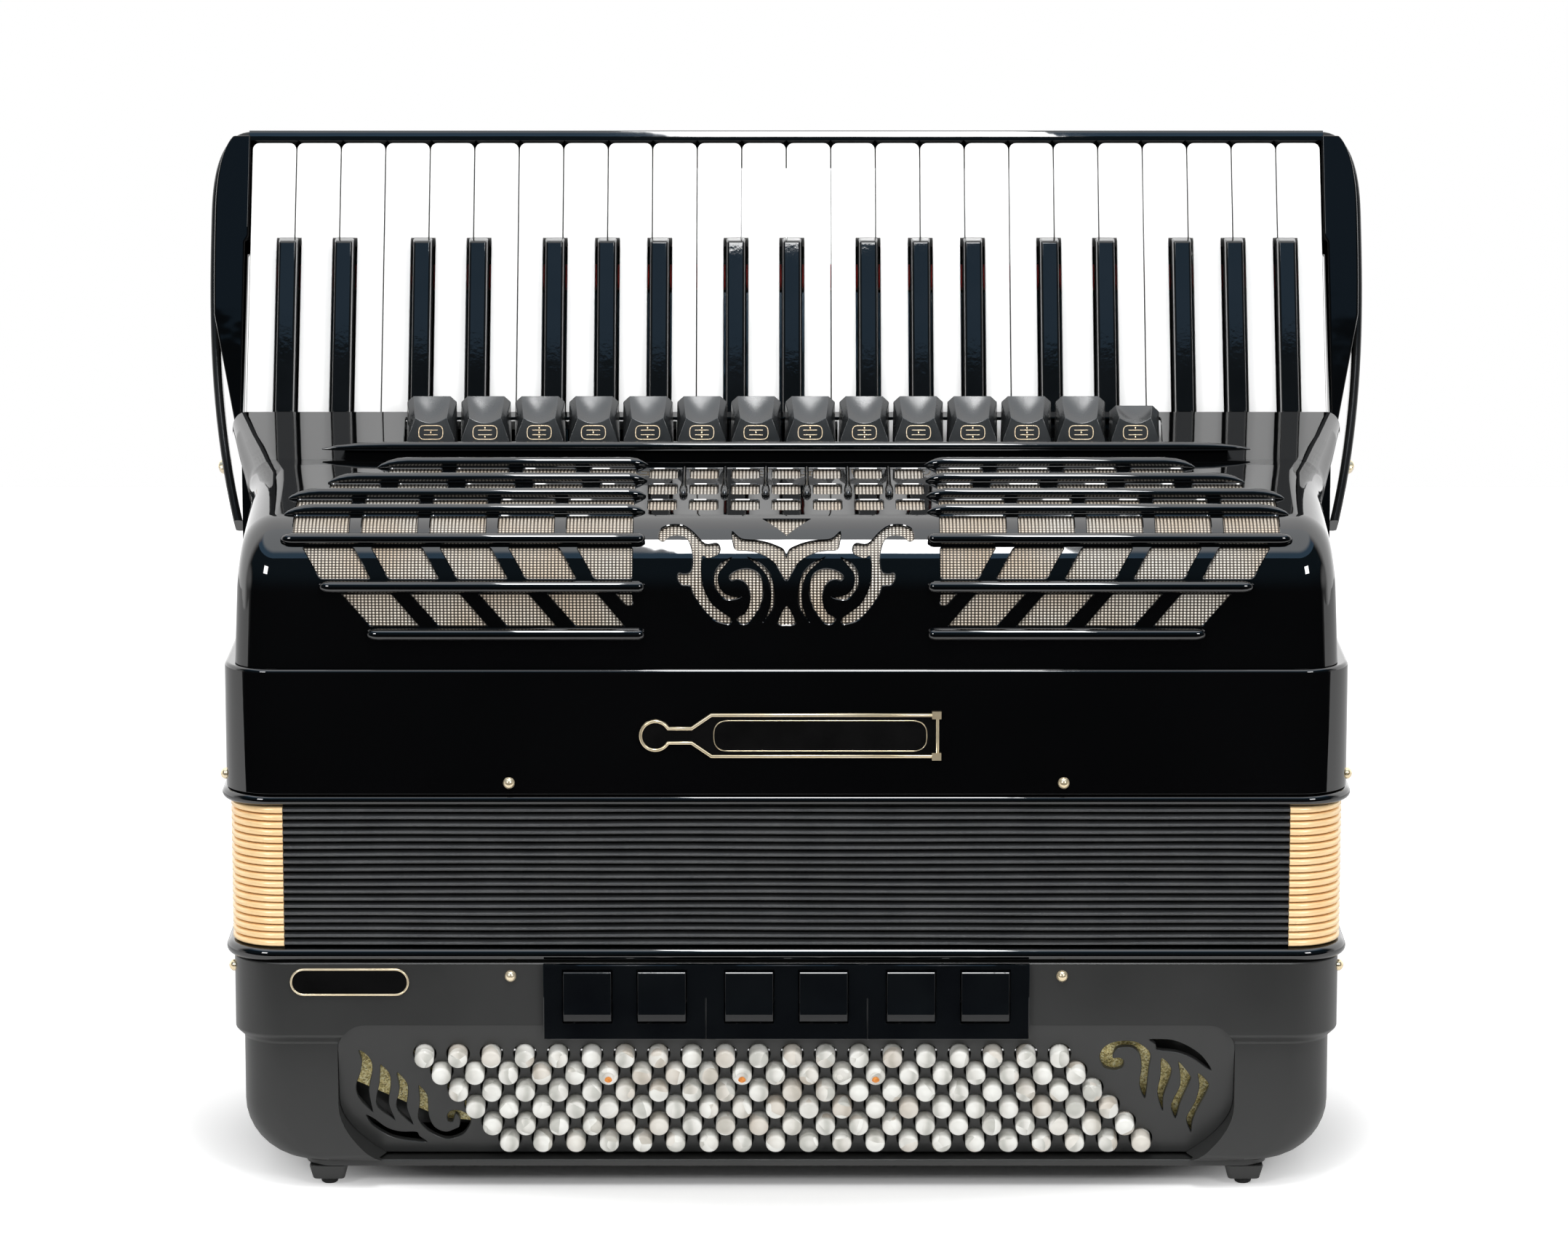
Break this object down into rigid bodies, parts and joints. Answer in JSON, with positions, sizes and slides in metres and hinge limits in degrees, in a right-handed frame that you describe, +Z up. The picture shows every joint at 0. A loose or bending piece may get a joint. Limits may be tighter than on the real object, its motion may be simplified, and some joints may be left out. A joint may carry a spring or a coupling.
{
  "type": "piano accordion",
  "caption": "Piano accordion with a tilted keyboard, slatted grille cover, pleated bellows and a bass case with slanted rows of buttons, standing on its bass end.",
  "frame": {"origin": "on the floor, under the middle of the bellows, within 3.5 mm of the middle of the whole", "axes": "+X along the keyboard to the viewer's right, -Y out of the grille towards the viewer, +Z up, from the bass end to the keys"},
  "size_m": [0.5146, 0.2255, 0.4399],
  "materials": {
    "ivory": "polished white",
    "ebony": "polished black",
    "black_gloss": "high gloss black",
    "black_satin": "satin dark grey",
    "pearl": "white pearl",
    "gold": "polished gold",
    "tape": "black card and cloth tape",
    "leather": "black leather",
    "wood": "bare wood",
    "mesh_metal": "dark woven wire",
    "steel": "ground steel"
  },
  "bodies": {
    "bass_body": {"bass_end_plate": "black_satin", "bass_case": "black_satin", "bass_button_board": "black_satin", "bass_switch_panel": "black_gloss", "bass_strap": "leather", "bass_bellows_frame": "black_gloss", "bellows": "tape"},
    "treble_body": {"treble_case": "black_gloss", "grille_cover": "black_gloss", "grille_mesh": "mesh_metal", "keyboard_frame": "black_gloss", "key_axle": "steel", "treble_reed_blocks": "wood", "treble_bellows_frame": "black_gloss"},
    "white_key_01_lever": {"white_key_01": "ivory"},
    "white_key_02_lever": {"white_key_02": "ivory"},
    "white_key_03_lever": {"white_key_03": "ivory"},
    "white_key_04_lever": {"white_key_04": "ivory"},
    "white_key_05_lever": {"white_key_05": "ivory"},
    "white_key_06_lever": {"white_key_06": "ivory"},
    "white_key_07_lever": {"white_key_07": "ivory"},
    "white_key_08_lever": {"white_key_08": "ivory"},
    "white_key_09_lever": {"white_key_09": "ivory"},
    "white_key_10_lever": {"white_key_10": "ivory"},
    "white_key_11_lever": {"white_key_11": "ivory"},
    "white_key_12_lever": {"white_key_12": "ivory"},
    "white_key_13_lever": {"white_key_13": "ivory"},
    "white_key_14_lever": {"white_key_14": "ivory"},
    "white_key_15_lever": {"white_key_15": "ivory"},
    "white_key_16_lever": {"white_key_16": "ivory"},
    "white_key_17_lever": {"white_key_17": "ivory"},
    "white_key_18_lever": {"white_key_18": "ivory"},
    "white_key_19_lever": {"white_key_19": "ivory"},
    "white_key_20_lever": {"white_key_20": "ivory"},
    "white_key_21_lever": {"white_key_21": "ivory"},
    "white_key_22_lever": {"white_key_22": "ivory"},
    "white_key_23_lever": {"white_key_23": "ivory"},
    "white_key_24_lever": {"white_key_24": "ivory"},
    "black_key_01_lever": {"black_key_01": "ebony"},
    "black_key_02_lever": {"black_key_02": "ebony"},
    "black_key_03_lever": {"black_key_03": "ebony"},
    "black_key_04_lever": {"black_key_04": "ebony"},
    "black_key_05_lever": {"black_key_05": "ebony"},
    "black_key_06_lever": {"black_key_06": "ebony"},
    "black_key_07_lever": {"black_key_07": "ebony"},
    "black_key_08_lever": {"black_key_08": "ebony"},
    "black_key_09_lever": {"black_key_09": "ebony"},
    "black_key_10_lever": {"black_key_10": "ebony"},
    "black_key_11_lever": {"black_key_11": "ebony"},
    "black_key_12_lever": {"black_key_12": "ebony"},
    "black_key_13_lever": {"black_key_13": "ebony"},
    "black_key_14_lever": {"black_key_14": "ebony"},
    "black_key_15_lever": {"black_key_15": "ebony"},
    "black_key_16_lever": {"black_key_16": "ebony"},
    "black_key_17_lever": {"black_key_17": "ebony"},
    "treble_switch_bank": {"treble_switches": "black_gloss"},
    "bass_switch_bank": {"bass_switches": "black_gloss"},
    "note_button_bank": {"bass_note_buttons": "pearl"},
    "chord_button_bank": {"chord_buttons": "pearl"},
    "air_valve": {"air_button": "gold"}
  },
  "joints": [
    {"name": "bellows_pull", "type": "slide", "parent": "bass_body", "child": "treble_body", "axis": [0, 0, 1], "range_m": [0, 0.3], "deforming": ["bellows"]},
    {"name": "white_key_01_press", "type": "hinge", "parent": "treble_body", "child": "white_key_01_lever", "pos_m": [0, 0.02397, 0.29236], "axis": [-1, 0, 0], "range_deg": [0, 1.7], "stiffness_Nm_per_rad": 0.5, "springref_deg": -11.46},
    {"name": "white_key_02_press", "type": "hinge", "parent": "treble_body", "child": "white_key_02_lever", "pos_m": [0, 0.02397, 0.29236], "axis": [-1, 0, 0], "range_deg": [0, 1.7], "stiffness_Nm_per_rad": 0.5, "springref_deg": -11.46},
    {"name": "white_key_03_press", "type": "hinge", "parent": "treble_body", "child": "white_key_03_lever", "pos_m": [0, 0.02397, 0.29236], "axis": [-1, 0, 0], "range_deg": [0, 1.7], "stiffness_Nm_per_rad": 0.5, "springref_deg": -11.46},
    {"name": "white_key_04_press", "type": "hinge", "parent": "treble_body", "child": "white_key_04_lever", "pos_m": [0, 0.02397, 0.29236], "axis": [-1, 0, 0], "range_deg": [0, 1.7], "stiffness_Nm_per_rad": 0.5, "springref_deg": -11.46},
    {"name": "white_key_05_press", "type": "hinge", "parent": "treble_body", "child": "white_key_05_lever", "pos_m": [0, 0.02397, 0.29236], "axis": [-1, 0, 0], "range_deg": [0, 1.7], "stiffness_Nm_per_rad": 0.5, "springref_deg": -11.46},
    {"name": "white_key_06_press", "type": "hinge", "parent": "treble_body", "child": "white_key_06_lever", "pos_m": [0, 0.02397, 0.29236], "axis": [-1, 0, 0], "range_deg": [0, 1.7], "stiffness_Nm_per_rad": 0.5, "springref_deg": -11.46},
    {"name": "white_key_07_press", "type": "hinge", "parent": "treble_body", "child": "white_key_07_lever", "pos_m": [0, 0.02397, 0.29236], "axis": [-1, 0, 0], "range_deg": [0, 1.7], "stiffness_Nm_per_rad": 0.5, "springref_deg": -11.46},
    {"name": "white_key_08_press", "type": "hinge", "parent": "treble_body", "child": "white_key_08_lever", "pos_m": [0, 0.02397, 0.29236], "axis": [-1, 0, 0], "range_deg": [0, 1.7], "stiffness_Nm_per_rad": 0.5, "springref_deg": -11.46},
    {"name": "white_key_09_press", "type": "hinge", "parent": "treble_body", "child": "white_key_09_lever", "pos_m": [0, 0.02397, 0.29236], "axis": [-1, 0, 0], "range_deg": [0, 1.7], "stiffness_Nm_per_rad": 0.5, "springref_deg": -11.46},
    {"name": "white_key_10_press", "type": "hinge", "parent": "treble_body", "child": "white_key_10_lever", "pos_m": [0, 0.02397, 0.29236], "axis": [-1, 0, 0], "range_deg": [0, 1.7], "stiffness_Nm_per_rad": 0.5, "springref_deg": -11.46},
    {"name": "white_key_11_press", "type": "hinge", "parent": "treble_body", "child": "white_key_11_lever", "pos_m": [0, 0.02397, 0.29236], "axis": [-1, 0, 0], "range_deg": [0, 1.7], "stiffness_Nm_per_rad": 0.5, "springref_deg": -11.46},
    {"name": "white_key_12_press", "type": "hinge", "parent": "treble_body", "child": "white_key_12_lever", "pos_m": [0, 0.02397, 0.29236], "axis": [-1, 0, 0], "range_deg": [0, 1.7], "stiffness_Nm_per_rad": 0.5, "springref_deg": -11.46},
    {"name": "white_key_13_press", "type": "hinge", "parent": "treble_body", "child": "white_key_13_lever", "pos_m": [0, 0.02397, 0.29236], "axis": [-1, 0, 0], "range_deg": [0, 1.7], "stiffness_Nm_per_rad": 0.5, "springref_deg": -11.46},
    {"name": "white_key_14_press", "type": "hinge", "parent": "treble_body", "child": "white_key_14_lever", "pos_m": [0, 0.02397, 0.29236], "axis": [-1, 0, 0], "range_deg": [0, 1.7], "stiffness_Nm_per_rad": 0.5, "springref_deg": -11.46},
    {"name": "white_key_15_press", "type": "hinge", "parent": "treble_body", "child": "white_key_15_lever", "pos_m": [0, 0.02397, 0.29236], "axis": [-1, 0, 0], "range_deg": [0, 1.7], "stiffness_Nm_per_rad": 0.5, "springref_deg": -11.46},
    {"name": "white_key_16_press", "type": "hinge", "parent": "treble_body", "child": "white_key_16_lever", "pos_m": [0, 0.02397, 0.29236], "axis": [-1, 0, 0], "range_deg": [0, 1.7], "stiffness_Nm_per_rad": 0.5, "springref_deg": -11.46},
    {"name": "white_key_17_press", "type": "hinge", "parent": "treble_body", "child": "white_key_17_lever", "pos_m": [0, 0.02397, 0.29236], "axis": [-1, 0, 0], "range_deg": [0, 1.7], "stiffness_Nm_per_rad": 0.5, "springref_deg": -11.46},
    {"name": "white_key_18_press", "type": "hinge", "parent": "treble_body", "child": "white_key_18_lever", "pos_m": [0, 0.02397, 0.29236], "axis": [-1, 0, 0], "range_deg": [0, 1.7], "stiffness_Nm_per_rad": 0.5, "springref_deg": -11.46},
    {"name": "white_key_19_press", "type": "hinge", "parent": "treble_body", "child": "white_key_19_lever", "pos_m": [0, 0.02397, 0.29236], "axis": [-1, 0, 0], "range_deg": [0, 1.7], "stiffness_Nm_per_rad": 0.5, "springref_deg": -11.46},
    {"name": "white_key_20_press", "type": "hinge", "parent": "treble_body", "child": "white_key_20_lever", "pos_m": [0, 0.02397, 0.29236], "axis": [-1, 0, 0], "range_deg": [0, 1.7], "stiffness_Nm_per_rad": 0.5, "springref_deg": -11.46},
    {"name": "white_key_21_press", "type": "hinge", "parent": "treble_body", "child": "white_key_21_lever", "pos_m": [0, 0.02397, 0.29236], "axis": [-1, 0, 0], "range_deg": [0, 1.7], "stiffness_Nm_per_rad": 0.5, "springref_deg": -11.46},
    {"name": "white_key_22_press", "type": "hinge", "parent": "treble_body", "child": "white_key_22_lever", "pos_m": [0, 0.02397, 0.29236], "axis": [-1, 0, 0], "range_deg": [0, 1.7], "stiffness_Nm_per_rad": 0.5, "springref_deg": -11.46},
    {"name": "white_key_23_press", "type": "hinge", "parent": "treble_body", "child": "white_key_23_lever", "pos_m": [0, 0.02397, 0.29236], "axis": [-1, 0, 0], "range_deg": [0, 1.7], "stiffness_Nm_per_rad": 0.5, "springref_deg": -11.46},
    {"name": "white_key_24_press", "type": "hinge", "parent": "treble_body", "child": "white_key_24_lever", "pos_m": [0, 0.02397, 0.29236], "axis": [-1, 0, 0], "range_deg": [0, 1.7], "stiffness_Nm_per_rad": 0.5, "springref_deg": -11.46},
    {"name": "black_key_01_press", "type": "hinge", "parent": "treble_body", "child": "black_key_01_lever", "pos_m": [0, 0.02397, 0.29236], "axis": [-1, 0, 0], "range_deg": [0, 1.7], "stiffness_Nm_per_rad": 0.5, "springref_deg": -11.46},
    {"name": "black_key_02_press", "type": "hinge", "parent": "treble_body", "child": "black_key_02_lever", "pos_m": [0, 0.02397, 0.29236], "axis": [-1, 0, 0], "range_deg": [0, 1.7], "stiffness_Nm_per_rad": 0.5, "springref_deg": -11.46},
    {"name": "black_key_03_press", "type": "hinge", "parent": "treble_body", "child": "black_key_03_lever", "pos_m": [0, 0.02397, 0.29236], "axis": [-1, 0, 0], "range_deg": [0, 1.7], "stiffness_Nm_per_rad": 0.5, "springref_deg": -11.46},
    {"name": "black_key_04_press", "type": "hinge", "parent": "treble_body", "child": "black_key_04_lever", "pos_m": [0, 0.02397, 0.29236], "axis": [-1, 0, 0], "range_deg": [0, 1.7], "stiffness_Nm_per_rad": 0.5, "springref_deg": -11.46},
    {"name": "black_key_05_press", "type": "hinge", "parent": "treble_body", "child": "black_key_05_lever", "pos_m": [0, 0.02397, 0.29236], "axis": [-1, 0, 0], "range_deg": [0, 1.7], "stiffness_Nm_per_rad": 0.5, "springref_deg": -11.46},
    {"name": "black_key_06_press", "type": "hinge", "parent": "treble_body", "child": "black_key_06_lever", "pos_m": [0, 0.02397, 0.29236], "axis": [-1, 0, 0], "range_deg": [0, 1.7], "stiffness_Nm_per_rad": 0.5, "springref_deg": -11.46},
    {"name": "black_key_07_press", "type": "hinge", "parent": "treble_body", "child": "black_key_07_lever", "pos_m": [0, 0.02397, 0.29236], "axis": [-1, 0, 0], "range_deg": [0, 1.7], "stiffness_Nm_per_rad": 0.5, "springref_deg": -11.46},
    {"name": "black_key_08_press", "type": "hinge", "parent": "treble_body", "child": "black_key_08_lever", "pos_m": [0, 0.02397, 0.29236], "axis": [-1, 0, 0], "range_deg": [0, 1.7], "stiffness_Nm_per_rad": 0.5, "springref_deg": -11.46},
    {"name": "black_key_09_press", "type": "hinge", "parent": "treble_body", "child": "black_key_09_lever", "pos_m": [0, 0.02397, 0.29236], "axis": [-1, 0, 0], "range_deg": [0, 1.7], "stiffness_Nm_per_rad": 0.5, "springref_deg": -11.46},
    {"name": "black_key_10_press", "type": "hinge", "parent": "treble_body", "child": "black_key_10_lever", "pos_m": [0, 0.02397, 0.29236], "axis": [-1, 0, 0], "range_deg": [0, 1.7], "stiffness_Nm_per_rad": 0.5, "springref_deg": -11.46},
    {"name": "black_key_11_press", "type": "hinge", "parent": "treble_body", "child": "black_key_11_lever", "pos_m": [0, 0.02397, 0.29236], "axis": [-1, 0, 0], "range_deg": [0, 1.7], "stiffness_Nm_per_rad": 0.5, "springref_deg": -11.46},
    {"name": "black_key_12_press", "type": "hinge", "parent": "treble_body", "child": "black_key_12_lever", "pos_m": [0, 0.02397, 0.29236], "axis": [-1, 0, 0], "range_deg": [0, 1.7], "stiffness_Nm_per_rad": 0.5, "springref_deg": -11.46},
    {"name": "black_key_13_press", "type": "hinge", "parent": "treble_body", "child": "black_key_13_lever", "pos_m": [0, 0.02397, 0.29236], "axis": [-1, 0, 0], "range_deg": [0, 1.7], "stiffness_Nm_per_rad": 0.5, "springref_deg": -11.46},
    {"name": "black_key_14_press", "type": "hinge", "parent": "treble_body", "child": "black_key_14_lever", "pos_m": [0, 0.02397, 0.29236], "axis": [-1, 0, 0], "range_deg": [0, 1.7], "stiffness_Nm_per_rad": 0.5, "springref_deg": -11.46},
    {"name": "black_key_15_press", "type": "hinge", "parent": "treble_body", "child": "black_key_15_lever", "pos_m": [0, 0.02397, 0.29236], "axis": [-1, 0, 0], "range_deg": [0, 1.7], "stiffness_Nm_per_rad": 0.5, "springref_deg": -11.46},
    {"name": "black_key_16_press", "type": "hinge", "parent": "treble_body", "child": "black_key_16_lever", "pos_m": [0, 0.02397, 0.29236], "axis": [-1, 0, 0], "range_deg": [0, 1.7], "stiffness_Nm_per_rad": 0.5, "springref_deg": -11.46},
    {"name": "black_key_17_press", "type": "hinge", "parent": "treble_body", "child": "black_key_17_lever", "pos_m": [0, 0.02397, 0.29236], "axis": [-1, 0, 0], "range_deg": [0, 1.7], "stiffness_Nm_per_rad": 0.5, "springref_deg": -11.46},
    {"name": "treble_switch_press", "type": "slide", "parent": "treble_body", "child": "treble_switch_bank", "axis": [0, 0, -1], "range_m": [0, 0.0035]},
    {"name": "bass_switch_tilt", "type": "hinge", "parent": "bass_body", "child": "bass_switch_bank", "pos_m": [0, -0.0985, 0.097], "axis": [1, 0, 0], "range_deg": [0, 5]},
    {"name": "note_button_press", "type": "slide", "parent": "bass_body", "child": "note_button_bank", "axis": [0, 0.9659, 0.2588], "range_m": [0, 0.004], "stiffness_N_per_m": 300, "springref_m": -0.004},
    {"name": "chord_button_press", "type": "slide", "parent": "bass_body", "child": "chord_button_bank", "axis": [0, 0.9659, 0.2588], "range_m": [0, 0.004], "stiffness_N_per_m": 500, "springref_m": -0.004},
    {"name": "air_button_press", "type": "slide", "parent": "bass_body", "child": "air_valve", "axis": [0, -1, 0], "range_m": [0, 0.005], "stiffness_N_per_m": 300, "springref_m": -0.004}
  ]
}
